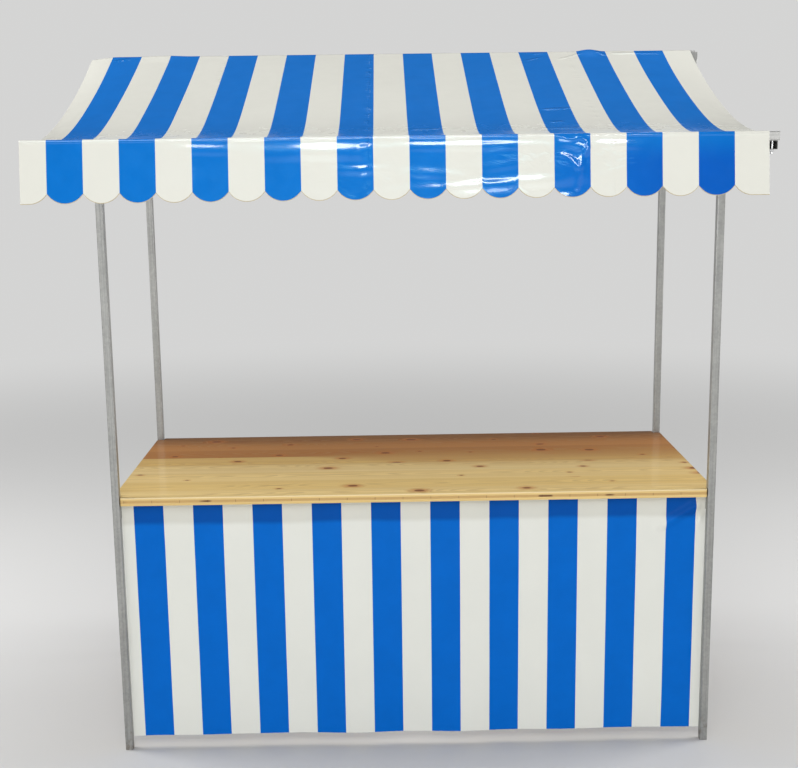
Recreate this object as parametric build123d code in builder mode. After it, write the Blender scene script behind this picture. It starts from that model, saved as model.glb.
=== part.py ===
"""Market stall: a bolted frame of square steel tube, a wooden counter board, a striped
front skirt and a saddle roof of striped canvas with a scalloped valance front and back.

Millimetres.  X runs along the counter, Y from the customer's side to the seller's side,
Z up from the ground.  The frame is drawn about its own middle, and every piece is moved
by origin_shift as it is written, because the canvas hangs further out on the left: the
origin is on the ground, under the middle of the whole outline.
"""
from build123d import *
from math import asin, cos, sin
import os

os.makedirs("parts", exist_ok=True)

# Tube
tube = 25.0                     # side of every square tube
tube_wall = 1.5
tube_corner = 2.5               # outer corner radius
bore = tube - 2 * tube_wall     # clear width inside the tube
bore_corner = tube_corner - tube_wall

# Frame
frame_width = 2015.0            # over the outer faces of the posts
frame_depth = 885.0             # from the posts' front faces to their back faces
counter_height = 900.0
board_thickness = 27.0
post_x = (frame_width - tube) / 2
post_y = (frame_depth - tube) / 2
foot_plate = 3.0                # plate welded into each post's lower end

# Counter
board_gap = 1.5                 # between the board's notches and the posts
board_corner = 7.0              # rounding of the board's corners, seen from above
board_edge = 1.0                # eased top edge
long_rail_top = counter_height - board_thickness
side_rail_top = long_rail_top - tube
long_rail_y = post_y - tube     # the long rails lie against the posts' inner faces

# Roof
eave_top = 2066.0               # upper face of the eave rails
ridge_top = 2354.0              # upper face of the ridge tube
roof_reach = 960.0              # from the middle of the frame to an eave rail's outer face
rail_overhang = 5.0             # the eave rails end this far outside the posts
ridge_length = 2000.0
beam_top = eave_top - tube      # side beams carry the eave rails
beam_bottom = beam_top - tube
eave_y = roof_reach - tube / 2
spigot = 21.0                   # plug that joins a side beam to a post
spigot_length = 60.0
saddle_wall = 3.0               # cradle under each end of the ridge tube
saddle_cheek = 20.0
king_post_top = ridge_top - tube - saddle_wall

# Bolts
bolt_radius = 4.0
bolt_hole = 4.25
bolt_head = 8.0                 # radius of the countersunk head
bolt_head_hole = 8.25
bolt_length = 62.0
head_depth = 4.6
nut_flats = 13.0
nut_height = 6.5

# Canvas
canvas = 1.2                    # thickness of the coated canvas
seat = 0.3                      # clearance between canvas and steel
stripe = 100.0
stripe_count = 21
first_stripe = 74.0             # the outermost stripes are cut narrower
last_stripe = 96.0
canvas_left = -1088.0
canvas_width = first_stripe + last_stripe + (stripe_count - 2) * stripe
canvas_right = canvas_left + canvas_width
valance_drop = 148.0            # along the canvas, from the fold to the cusps between scallops
scallop_depth = 27.0
scallop_radius = ((stripe / 2) ** 2 + scallop_depth ** 2) / (2 * scallop_depth)
valance_flare = 26.0            # the hem stands this far further out than the fold
valance_lean = asin(valance_flare / (valance_drop + scallop_depth))
roof_sag = 48.0                 # how far each slope hangs below a straight line

# Skirt
skirt_thickness = 1.2
skirt_bottom = 40.0
skirt_side_gap = 1.0
skirt_top_gap = 2.0

origin_shift = -(canvas_left + frame_width / 2 + rail_overhang) / 2


def save(piece, name):
    """Label a finished piece and write it, measured from the whole stall's origin."""
    placed = piece.part.moved(Location((origin_shift, 0, 0)))
    placed.label = name
    export_step(placed, f"parts/{name}.step")


def tube_section(foot):
    """Cross-section of the square tube, drawn on the plane foot."""
    with BuildSketch(foot) as section:
        RectangleRounded(tube, tube, tube_corner)
        RectangleRounded(bore, bore, bore_corner, mode=Mode.SUBTRACT)
    return section.sketch


def along_x(length, y, top):
    """Plane at the left end of a tube that runs along X, centred on the frame."""
    return Plane(origin=(-length / 2, y, top - tube / 2), x_dir=(0, 1, 0), z_dir=(1, 0, 0))


def along_y(length, x, top):
    """Plane at the front end of a tube that runs along Y, centred on the frame."""
    return Plane(origin=(x, -length / 2, top - tube / 2), x_dir=(-1, 0, 0), z_dir=(0, 1, 0))


def upright(x, y, bottom):
    """Plane under a tube that stands upright."""
    return Plane(origin=(x, y, bottom), x_dir=(1, 0, 0), z_dir=(0, 0, 1))


sides = (("left", -post_x), ("right", post_x))
ends = (("front", -1), ("back", 1))

# Posts: one tube each from the ground to the side beam, closed at the foot.
for side, x in sides:
    for end, toward in ends:
        ground = upright(x, toward * post_y, 0)
        with BuildPart() as post:
            extrude(tube_section(ground), amount=beam_bottom)
            with BuildSketch(ground):
                Rectangle(bore, bore)
            extrude(amount=foot_plate)
        save(post, f"post_{end}_{side}")

# Counter frame: side rails between the posts, with the long rails lying across them.
side_rail_length = frame_depth - 2 * tube
for side, x in sides:
    with BuildPart() as side_rail:
        front_end = along_y(side_rail_length, x, side_rail_top)
        extrude(tube_section(front_end), amount=side_rail_length)
    save(side_rail, f"counter_side_rail_{side}")

for end, toward in ends:
    with BuildPart() as long_rail:
        left_end = along_x(frame_width, toward * long_rail_y, long_rail_top)
        extrude(tube_section(left_end), amount=frame_width)
    save(long_rail, f"counter_{end}_rail")

bearer_length = 2 * long_rail_y - tube
with BuildPart() as counter_bearer:
    extrude(tube_section(along_y(bearer_length, 0, long_rail_top)), amount=bearer_length)
save(counter_bearer, "counter_bearer")

# Counter board: as large as the frame, cut out at each corner to pass round the posts.
notch = tube + board_gap
with BuildPart() as counter_board:
    with BuildSketch(Plane.XY.offset(long_rail_top)):
        Rectangle(frame_width, frame_depth)
        with GridLocations(frame_width - notch, frame_depth - notch, 2, 2):
            Rectangle(notch, notch, mode=Mode.SUBTRACT)
    extrude(amount=board_thickness)
    outer_corners = (
        counter_board.edges()
        .filter_by(Axis.Z)
        .filter_by(lambda e: abs(e.center().X) > post_x or abs(e.center().Y) > post_y)
    )
    fillet(outer_corners, board_corner)
    chamfer(counter_board.edges().group_by(Axis.Z)[-1], board_edge)
save(counter_board, "counter_board")

# Side beams: tubes open at both ends, each with two spigots that plug into the posts.
for side, x in sides:
    with BuildPart() as side_beam:
        extrude(tube_section(along_y(2 * roof_reach, x, beam_top)), amount=2 * roof_reach)
        with Locations((x, -eave_y, beam_top), (x, eave_y, beam_top)):
            Hole(radius=bolt_hole, depth=tube)
    save(side_beam, f"side_beam_{side}")

    for end, toward in ends:
        with BuildPart() as beam_spigot:
            with BuildSketch(upright(x, toward * post_y, beam_bottom)):
                Rectangle(spigot, spigot)
            extrude(amount=-spigot_length)
        save(beam_spigot, f"beam_spigot_{end}_{side}")

# King posts: each carries one end of the ridge tube in a welded cradle.
for side, x in sides:
    cradle_width = tube + 2 * saddle_wall
    with BuildPart() as king_post:
        extrude(tube_section(upright(x, 0, beam_top)), amount=king_post_top - beam_top)
        with BuildSketch(upright(x, 0, king_post_top)):
            Rectangle(tube, cradle_width)
        extrude(amount=saddle_wall + saddle_cheek)
        with BuildSketch(upright(x, 0, king_post_top + saddle_wall)):
            Rectangle(tube, tube)
        extrude(amount=saddle_cheek, mode=Mode.SUBTRACT)
    save(king_post, f"king_post_{side}")

with BuildPart() as ridge_tube:
    extrude(tube_section(along_x(ridge_length, 0, ridge_top)), amount=ridge_length)
save(ridge_tube, "ridge_tube")

eave_length = frame_width + 2 * rail_overhang
for end, toward in ends:
    y = toward * eave_y
    with BuildPart() as eave_rail:
        extrude(tube_section(along_x(eave_length, y, eave_top)), amount=eave_length)
        with Locations((-post_x, y, eave_top), (post_x, y, eave_top)):
            CounterSinkHole(radius=bolt_hole, counter_sink_radius=bolt_head_hole, depth=tube)
    save(eave_rail, f"eave_rail_{end}")


def countersunk_bolt(x, y, top):
    """A bolt with its flat head flush with the face at top, drawn as a turned profile."""
    with BuildPart() as bolt:
        with BuildSketch(Plane(origin=(x, y, top), x_dir=(1, 0, 0), z_dir=(0, -1, 0))):
            with BuildLine():
                Polyline(
                    (0, 0),
                    (bolt_head, 0),
                    (bolt_radius, -head_depth),
                    (bolt_radius, -bolt_length),
                    (0, -bolt_length),
                    close=True,
                )
            make_face()
        revolve(axis=Axis((x, y, top), (0, 0, 1)))
    return bolt


def hexagon_nut(x, y, top):
    """A nut that bears up against the face at top."""
    with BuildPart() as nut:
        with BuildSketch(upright(x, y, top)):
            RegularPolygon(nut_flats / 2, 6, major_radius=False)
            Circle(bolt_radius, mode=Mode.SUBTRACT)
        extrude(amount=-nut_height)
    return nut


# Bolts: one through each crossing of an eave rail over a side beam.
for side, x in sides:
    for end, toward in ends:
        save(countersunk_bolt(x, toward * eave_y, eave_top), f"eave_bolt_{end}_{side}")
        save(hexagon_nut(x, toward * eave_y, beam_bottom), f"eave_nut_{end}_{side}")


# Roof canvas: two hanging slopes that meet over the ridge tube, drawn from the side.
for end, toward in ends:
    fold = (toward * (roof_reach + seat + canvas), eave_top + seat)
    rail_inner = (toward * (roof_reach - tube), eave_top + seat)
    ridge_outer = (toward * tube / 2, ridge_top + seat)
    ridge_middle = (0, ridge_top + seat)
    lowest = (
        (rail_inner[0] + ridge_outer[0]) / 2,
        (rail_inner[1] + ridge_outer[1]) / 2 - roof_sag,
    )
    with BuildPart() as roof_slope:
        side_view = Plane(origin=(canvas_left, 0, 0), x_dir=(0, 1, 0), z_dir=(1, 0, 0))
        with BuildSketch(side_view):
            with BuildLine() as outline:
                Line(fold, rail_inner)
                ThreePointArc(rail_inner, lowest, ridge_outer)
                Line(ridge_outer, ridge_middle)
                for edge in outline.edges():
                    add(edge.moved(Location((0, canvas, 0))))
                Line(fold, (fold[0], fold[1] + canvas))
                Line(ridge_middle, (0, ridge_middle[1] + canvas))
            make_face()
        extrude(amount=canvas_width)
    save(roof_slope, f"roof_slope_{end}")

# Valances: one round scallop for each stripe, half a scallop at the outermost two.  Each is
# drawn on its own leaning plane, measured down from the fold, and mitred against the slope.
cusp = -valance_drop
tip = cusp - scallop_depth
cusps = [canvas_left + first_stripe + i * stripe for i in range(stripe_count - 1)]
first_tip = cusps[0] - stripe / 2
last_tip = cusps[-1] + stripe / 2
valance_top = eave_top + seat
for end, toward in ends:
    inner_face = Plane(
        origin=(0, toward * (roof_reach + seat), valance_top),
        x_dir=(1, 0, 0),
        z_dir=(0, -cos(valance_lean), -toward * sin(valance_lean)),
    )
    with BuildPart() as valance:
        with BuildSketch(inner_face):
            with BuildLine():
                Line((canvas_left, 0), (canvas_left, tip))
                Line((canvas_left, tip), (first_tip, tip))
                RadiusArc((first_tip, tip), (cusps[0], cusp), -scallop_radius)
                for start, stop in zip(cusps, cusps[1:]):
                    ThreePointArc((start, cusp), ((start + stop) / 2, tip), (stop, cusp))
                RadiusArc((cusps[-1], cusp), (last_tip, tip), -scallop_radius)
                Line((last_tip, tip), (canvas_right, tip))
                Line((canvas_right, tip), (canvas_right, 0))
                Line((canvas_right, 0), (canvas_left, 0))
            make_face()
        extrude(amount=-toward * canvas)
        split(bisect_by=Plane.XY.offset(valance_top), keep=Keep.BOTTOM)
    save(valance, f"valance_{end}")

# Skirt: hangs on the front long rail's face, between the front posts.
skirt_width = frame_width - 2 * tube - 2 * skirt_side_gap
skirt_back = -(long_rail_y + tube / 2 + seat)
with BuildPart() as skirt:
    with BuildSketch(Plane(origin=(0, skirt_back, 0), x_dir=(1, 0, 0), z_dir=(0, -1, 0))):
        with BuildLine():
            Polyline(
                (-skirt_width / 2, skirt_bottom),
                (skirt_width / 2, skirt_bottom),
                (skirt_width / 2, long_rail_top - skirt_top_gap),
                (-skirt_width / 2, long_rail_top - skirt_top_gap),
                close=True,
            )
        make_face()
    extrude(amount=skirt_thickness)
save(skirt, "skirt")
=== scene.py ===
"""Market stall: the looks of the steel frame, the lacquered counter board, the striped
front skirt and the saddle roof of striped canvas with scalloped valances.

Everything is in metres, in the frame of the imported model: +Z up, -Y towards the customer.
Cloth is made as a flat grid that is bent over the rails, and its UV map keeps the place on
the flat cloth in metres, so that stripes and weave follow the sheet.
"""
import math

import bpy
from mathutils import Matrix, Vector, noise


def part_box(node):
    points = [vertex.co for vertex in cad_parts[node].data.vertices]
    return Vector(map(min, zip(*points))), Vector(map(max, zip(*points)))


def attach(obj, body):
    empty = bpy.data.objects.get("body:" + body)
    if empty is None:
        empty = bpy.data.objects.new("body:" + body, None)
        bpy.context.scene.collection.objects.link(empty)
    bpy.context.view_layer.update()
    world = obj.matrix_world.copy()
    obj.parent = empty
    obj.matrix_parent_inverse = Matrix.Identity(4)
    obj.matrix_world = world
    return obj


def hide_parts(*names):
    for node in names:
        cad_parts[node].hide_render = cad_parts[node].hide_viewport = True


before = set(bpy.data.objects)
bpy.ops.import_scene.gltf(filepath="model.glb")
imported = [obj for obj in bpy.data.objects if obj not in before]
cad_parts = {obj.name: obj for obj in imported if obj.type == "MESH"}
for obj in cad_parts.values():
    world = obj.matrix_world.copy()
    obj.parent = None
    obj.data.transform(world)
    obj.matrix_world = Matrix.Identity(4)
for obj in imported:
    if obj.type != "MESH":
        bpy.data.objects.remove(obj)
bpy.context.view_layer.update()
bpy.context.scene.view_settings.view_transform = "Standard"

# -------- sizes read from the frame
SLOPE_LOW, SLOPE_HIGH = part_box("roof_slope_front")
VALANCE_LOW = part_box("valance_front")[0]
EAVE_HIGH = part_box("eave_rail_front")[1]
RIDGE_LOW, RIDGE_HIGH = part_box("ridge_tube")
SKIRT_LOW, SKIRT_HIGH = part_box("skirt")
BOARD_LOW, BOARD_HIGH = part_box("counter_board")

# -------- canvas sizes
STRIPE = 0.100
STRIPE_COUNT = 21
FIRST_STRIPE = 0.074            # the outermost stripes are cut narrower
LAST_STRIPE = 0.096
SCALLOP_DEPTH = 0.027
CLOTH = 0.0012                  # thickness, the coating included
CLOTH_LIFT = SLOPE_HIGH.z - RIDGE_HIGH.z    # from the steel to the cloth's outer face
FOLD_RADIUS = 0.005             # outer radius where the cloth breaks over a tube's corner
THREAD_PITCH = 0.0011           # of the weave under the coating

SKIRT_STRIPE = 0.0995
SKIRT_FIRST = 0.040             # narrow white end on the left


# ======== shader nodes
class Nodes:
    """Short ways to add nodes to one tree.  A value may be a number, a colour or a socket."""

    def __init__(self, tree):
        self.tree = tree

    def feed(self, socket, value):
        if isinstance(value, bpy.types.NodeSocket):
            self.tree.links.new(value, socket)
        else:
            socket.default_value = value

    def fill(self, node, **values):
        """Feed the inputs of a node that the names say."""
        for name, value in values.items():
            self.feed(node.inputs[name.replace("_", " ")], value)

    def add(self, kind, values=(), **settings):
        node = self.tree.nodes.new(kind)
        for name, setting in settings.items():
            setattr(node, name, setting)
        for socket, value in dict(values).items():
            self.feed(node.inputs[socket], value)
        return node

    def sum(self, a, b):
        return self.maths("ADD", a, b)

    def minus(self, a, b):
        return self.maths("SUBTRACT", a, b)

    def times(self, a, b):
        return self.maths("MULTIPLY", a, b)

    def maths(self, operation, *values, clamp=False):
        node = self.add("ShaderNodeMath", operation=operation, use_clamp=clamp)
        for i, value in enumerate(values):
            self.feed(node.inputs[i], value)
        return node.outputs[0]

    def between(self, value, low, high, to_low=0.0, to_high=1.0, smooth=True):
        """value from low..high brought to to_low..to_high, and held there beyond."""
        kind = "SMOOTHSTEP" if smooth else "LINEAR"
        values = {"Value": value, "From Min": low, "From Max": high,
                  "To Min": to_low, "To Max": to_high}
        return self.add("ShaderNodeMapRange", values, interpolation_type=kind).outputs["Result"]

    def centred(self, value):
        """A value from 0 to 1 moved to -0.5 to 0.5."""
        return self.sum(value, -0.5)

    def mix(self, factor, a, b, blend="MIX"):
        node = self.add("ShaderNodeMix", data_type="RGBA", blend_type=blend)
        for i, value in ((0, factor), (6, a), (7, b)):
            self.feed(node.inputs[i], value)
        return node.outputs[2]

    def tint(self, colour, by):
        """One colour multiplied by another."""
        return self.mix(1.0, colour, by, blend="MULTIPLY")

    def place(self):
        """The place on the piece, in metres from the frame's origin."""
        return self.add("ShaderNodeTexCoord").outputs["Object"]

    def point(self, x, y, z):
        return self.add("ShaderNodeCombineXYZ", {"X": x, "Y": y, "Z": z}).outputs[0]

    def parts(self, vector):
        return self.add("ShaderNodeSeparateXYZ", {"Vector": vector}).outputs

    def noise(self, vector, scale, detail=2.0, roughness=0.5, distortion=0.0):
        values = {"Vector": vector, "Scale": scale, "Detail": detail,
                  "Roughness": roughness, "Distortion": distortion}
        return self.add("ShaderNodeTexNoise", values).outputs["Fac"]

    def cells(self, vector, scale, randomness=1.0, dimensions="3D"):
        values = {"Vector": vector, "Scale": scale, "Randomness": randomness}
        return self.add("ShaderNodeTexVoronoi", values, voronoi_dimensions=dimensions)

    def vectors(self, operation, a, b=None):
        """The outputs of a Vector Math node."""
        values = {0: a} if b is None else {0: a, 1: b}
        return self.add("ShaderNodeVectorMath", values, operation=operation).outputs

    def chance(self, value):
        """A number from 0 to 1 that depends only on value."""
        node = self.add("ShaderNodeTexWhiteNoise", {"W": value}, noise_dimensions="1D")
        return node.outputs["Value"]

    def group(self, tree, **values):
        node = self.add("ShaderNodeGroup", node_tree=tree)
        for name, value in values.items():
            self.feed(node.inputs[name.replace("_", " ").capitalize()], value)
        return node.outputs


def effect(name, vectors, numbers, results):
    """An empty shader node group: the group, its nodes, its inputs and its output node."""
    tree = bpy.data.node_groups.new(name, "ShaderNodeTree")
    sockets = [(label, "INPUT", "NodeSocketVector") for label in vectors]
    sockets += [(label, "INPUT", "NodeSocketFloat") for label in numbers]
    sockets += [(label, "OUTPUT", "NodeSocketFloat") for label in results]
    for label, direction, kind in sockets:
        tree.interface.new_socket(name=label, in_out=direction, socket_type=kind)
    nodes = Nodes(tree)
    return tree, nodes, nodes.add("NodeGroupInput").outputs, nodes.add("NodeGroupOutput")


def new_material(name):
    """A new material, its nodes and its Principled BSDF."""
    material = bpy.data.materials.new(name)
    material.use_nodes = True
    nodes = Nodes(material.node_tree)
    return material, nodes, material.node_tree.nodes["Principled BSDF"]


def bump(nodes, height):
    """A normal for a height in metres."""
    values = {"Height": height, "Strength": 1.0, "Distance": 1.0}
    return nodes.add("ShaderNodeBump", values).outputs[0]


# -------- shared effects
def stripe_effect():
    """Mask of the coloured stripes on a cloth, from the distance across it."""
    tree, n, given, out = effect("cloth stripes", ["Cloth"], ["First edge", "Width"], ["Mask"])
    across = n.parts(given["Cloth"])[0]
    thread_wobble = n.times(n.centred(n.noise(given["Cloth"], 900.0, 1.0)), 0.0006)
    place = n.sum(n.minus(across, given["First edge"]), thread_wobble)
    wave = n.maths("SINE", n.times(n.maths("DIVIDE", place, given["Width"]), math.pi))
    n.fill(out, Mask=n.between(wave, -0.012, 0.012))
    return tree


def weave_effect():
    """Height of the threads that show through a coating, at a given pitch."""
    tree, n, given, out = effect("coated weave", ["Cloth"], ["Pitch", "Depth"], ["Height"])
    turns = n.maths("DIVIDE", 2 * math.pi, given["Pitch"])
    x, y, _ = n.parts(given["Cloth"])
    warp = n.maths("SINE", n.times(x, turns))
    weft = n.maths("SINE", n.times(y, turns))
    n.fill(out, Height=n.times(n.times(warp, weft), given["Depth"]))
    return tree


def crumple_effect():
    """Height of the small dents and creases that folding leaves in coated cloth."""
    tree, n, given, out = effect("canvas crumple", ["Cloth"], ["Size", "Depth", "Amount"],
                                 ["Height", "Dents"])
    patches = n.noise(given["Cloth"], 7.0, 2.0)
    swell = n.maths("DIVIDE", 1.0, given["Size"])
    dents = n.noise(given["Cloth"], swell, 3.0, 0.55, 0.6)
    facets = n.cells(given["Cloth"], n.times(swell, 1.7)).outputs["Distance"]
    creased = n.sum(n.times(dents, 0.7), n.times(facets, 0.3))
    amount = n.times(n.between(patches, 0.35, 0.7, 0.35, 1.0), given["Amount"])
    n.fill(out, Height=n.times(n.times(creased, amount), given["Depth"]), Dents=dents)
    return tree


def crease_effect():
    """Height of the fine wrinkles along one packing fold that runs from eave to eave."""
    tree, n, given, out = effect("packing fold", ["Cloth"], ["Place", "Reach", "Depth"],
                                 ["Height"])
    x, y, _ = n.parts(given["Cloth"])
    wander = n.times(n.centred(n.noise(n.point(0.0, y, given["Place"]), 9.0, 2.0)), 0.012)
    off = n.maths("ABSOLUTE", n.sum(n.minus(x, given["Place"]), wander))
    near = n.between(off, given["Reach"], 0.0)
    patches = n.between(n.noise(n.point(given["Place"], y, 0.0), 22.0, 2.0), 0.42, 0.62)
    drawn = n.point(n.times(x, 0.6), n.times(y, 1.6), given["Place"])
    wrinkles = n.noise(drawn, 85.0, 3.0, 0.6, 1.4)
    ridge = n.times(n.between(off, 0.0035, 0.0), 0.5)
    height = n.times(n.sum(n.times(wrinkles, patches), n.times(ridge, patches)), near)
    n.fill(out, Height=n.times(height, given["Depth"]))
    return tree


def crease_line_effect():
    """Height of one raised crease between two places on the cloth, lower towards its ends."""
    tree, n, given, out = effect("creased line", ["Cloth", "Start", "Stop"], ["Reach", "Depth"],
                                 ["Height"])
    run = n.vectors("SUBTRACT", given["Stop"], given["Start"])[0]
    place = n.vectors("SUBTRACT", given["Cloth"], given["Start"])[0]
    part = n.maths("DIVIDE", n.vectors("DOT_PRODUCT", place, run)["Value"],
                   n.vectors("DOT_PRODUCT", run, run)["Value"], clamp=True)
    nearest = n.vectors("MULTIPLY", run, n.point(part, part, part))[0]
    off = n.vectors("DISTANCE", place, nearest)["Value"]
    ragged = n.times(n.centred(n.noise(given["Cloth"], 70.0, 2.0)), given["Reach"])
    line = n.between(n.sum(off, ragged), given["Reach"], 0.0)
    ends = n.times(n.between(part, 0.0, 0.3), n.between(part, 1.0, 0.7))
    n.fill(out, Height=n.times(n.times(line, ends), given["Depth"]))
    return tree


def crinkle_effect():
    """Height of the fine sharp-edged crinkles that come in patches where cloth was pressed."""
    tree, n, given, out = effect("crinkle", ["Cloth"], ["Size", "Depth"], ["Height"])
    per_metre = n.maths("DIVIDE", 1.0, given["Size"])
    x, y, z = n.parts(given["Cloth"])
    drawn = n.point(n.times(x, 0.45), y, z)
    patches = n.between(n.noise(drawn, 14.0, 2.0), 0.48, 0.66)
    folds = n.noise(drawn, per_metre, 2.0, 0.5, 0.7)
    sharp = n.maths("ABSOLUTE", n.centred(folds))
    n.fill(out, Height=n.times(n.times(sharp, patches), given["Depth"]))
    return tree


def zinc_effect():
    """Shade and streaks of hot-dip zinc, drawn out along the tube's own axis."""
    tree, n, given, out = effect("zinc coat", ["Place", "Along"], [],
                                 ["Shade", "Streaks", "Height"])
    drawn = n.vectors("MULTIPLY", given["Place"], given["Along"])[0]
    streaks = n.noise(drawn, 1.0, 4.0, 0.6)
    spangle = n.cells(given["Place"], 140.0).outputs["Color"]
    flake = n.add("ShaderNodeSeparateColor", {"Color": spangle}).outputs[0]
    cloud = n.noise(given["Place"], 9.0, 3.0)
    shade = n.sum(n.sum(n.times(streaks, 0.55), n.times(flake, 0.12)), n.times(cloud, 0.33))
    grit = n.times(n.noise(given["Place"], 320.0, 2.0), 0.00003)
    n.fill(out, Shade=shade, Streaks=streaks, Height=grit)
    return tree


def timber_effect():
    """Growth rings of softwood lamellas glued side by side, with knots, seen on any face."""
    tree, n, given, out = effect("softwood", ["Place"], ["Lamella", "Knots"],
                                 ["Late wood", "Knot", "Halo", "Seam", "Tone"])
    x, y, z = n.parts(given["Place"])
    strip = n.maths("DIVIDE", y, given["Lamella"])
    index = n.maths("FLOOR", strip)
    tone = n.chance(index)
    shift = n.times(n.chance(n.sum(index, 17.3)), 7.0)
    in_strip = n.times(n.centred(n.maths("FRACT", strip)), given["Lamella"])

    # Knots lie at random in the strips; each pushes the rings aside.
    knot_place = n.point(n.sum(n.times(x, 5.2), shift), n.times(y, 8.0), 0.0)
    knot_cell = n.cells(knot_place, 1.0, 0.9, dimensions="2D")
    random = n.parts(knot_cell.outputs["Color"])
    there = n.maths("GREATER_THAN", random[0], 0.50)
    size = n.between(random[0], 0.50, 1.0, 0.035, 0.105, smooth=False)
    reach = n.sum(knot_cell.outputs["Distance"], n.times(n.noise(given["Place"], 60.0, 2.0), 0.04))
    knot = n.between(reach, n.sum(size, 0.03), size)
    knot = n.times(n.times(knot, there), given["Knots"])
    halo = n.times(n.between(reach, n.times(size, 3.4), size), there)
    halo = n.times(halo, given["Knots"])

    # Rings: distance from a pith line that wanders below the face.
    slow = n.noise(n.point(n.sum(n.times(x, 0.9), shift), tone, 0.0), 1.0, 2.0)
    pith_y = n.times(n.centred(n.chance(n.sum(index, 5.1))), 0.09)
    depth = n.sum(n.times(slow, 0.16), z)
    aside = n.sum(in_strip, pith_y)
    ring = n.maths("SQRT", n.sum(n.times(aside, aside), n.times(depth, depth)))
    ring = n.sum(ring, n.times(halo, 0.006))
    wave = n.times(n.noise(n.point(n.times(x, 2.0), n.times(y, 20.0), z), 3.0, 3.0), 0.004)
    year = n.maths("FRACT", n.maths("DIVIDE", n.sum(ring, wave), 0.0042))
    late = n.times(n.between(year, 0.35, 0.85), n.between(year, 1.0, 0.9))
    fibres = n.noise(n.point(n.times(x, 14.0), n.times(y, 900.0), n.times(z, 900.0)), 1.0, 2.0)
    late = n.sum(n.times(late, 0.75), n.times(n.centred(fibres), 0.5))
    half_strip = n.times(given["Lamella"], 0.5)
    seam = n.between(n.maths("ABSOLUTE", in_strip), n.sum(half_strip, -0.0012),
                     n.sum(half_strip, -0.0002))
    n.fill(out, Late_wood=late, Knot=knot, Halo=halo, Seam=seam, Tone=tone)
    return tree


STRIPES = stripe_effect()
WEAVE = weave_effect()
CRUMPLE = crumple_effect()
CREASE = crease_effect()
CREASE_LINE = crease_line_effect()
CRINKLE = crinkle_effect()
ZINC = zinc_effect()
TIMBER = timber_effect()


# ======== materials
CREAM = (0.800, 0.790, 0.715, 1)
BLUE = (0.0008, 0.168, 0.610, 1)
SKIRT_CREAM = (0.790, 0.795, 0.735, 1)
SKIRT_BLUE = (0.0008, 0.134, 0.570, 1)


def shades(colour, low, high):
    """The same colour darker and lighter."""
    return [(*[part * factor for part in colour[:3]], 1) for factor in (low, high)]


def striped_cloth(name, first_edge, width, ground=CREAM, stripe=BLUE):
    """Striped cloth: what new_material gives, then its place on the cloth, mask and colour."""
    material, n, bsdf = new_material(name)
    cloth = n.add("ShaderNodeUVMap", uv_map="cloth").outputs[0]
    mask = n.group(STRIPES, cloth=cloth, first_edge=first_edge, width=width)["Mask"]
    cream = n.mix(n.noise(cloth, 3.0, 4.0, 0.6), *shades(ground, 0.95, 1.02))
    dye = n.mix(n.noise(cloth, 11.0, 4.0, 0.65), *shades(stripe, 0.90, 1.10))
    return material, n, bsdf, cloth, mask, n.mix(mask, cream, dye)


# Packing folds of the canvas: distance across it, reach to each side, height of the wrinkles.
PACKING_FOLDS = ((0.958, 0.018, 0.0024), (0.470, 0.022, 0.0009), (1.640, 0.026, 0.0008))
# Creased lines of the front slope: each end as (X, distance above the fold along the cloth),
# reach, height.
CREASE_LINES = (
    ((0.430, 0.375), (0.535, 0.385), 0.014, 0.0040),
    ((0.440, 0.240), (0.490, 0.245), 0.016, 0.0050),
    ((0.395, 0.165), (0.540, 0.150), 0.016, 0.0050),
    ((0.020, 0.170), (0.125, 0.175), 0.014, 0.0040),
    ((0.435, 0.885), (0.505, 0.935), 0.010, 0.0016),
    ((0.455, 0.972), (0.525, 0.974), 0.012, 0.0016),
    ((0.545, 0.900), (0.650, 0.980), 0.012, 0.0020),
    ((0.685, 0.985), (0.730, 0.945), 0.014, 0.0024),
    ((0.720, 0.970), (0.930, 0.972), 0.015, 0.0024),
    ((-0.975, 0.955), (-0.905, 0.975), 0.016, 0.0024),
)
GLAZE = (0.30, 0.86, 1.0, 1)    # tint of the softer sheen under the clear coat
THIN_COAT = (0.86, 0.86, 0.86, 1)   # the colours are multiplied by this on the inner side
HANDLED_MIDDLE = 1.30           # the valance is crinkled to both sides of this distance across
HANDLED_SPOT = 0.525            # and in one spot near the fold here
RIGHT_LOW_SHADE_BLUE = (1.0, 0.62, 0.86, 1)    # painted shade: the dye is multiplied by this low on the right of a valance


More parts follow.
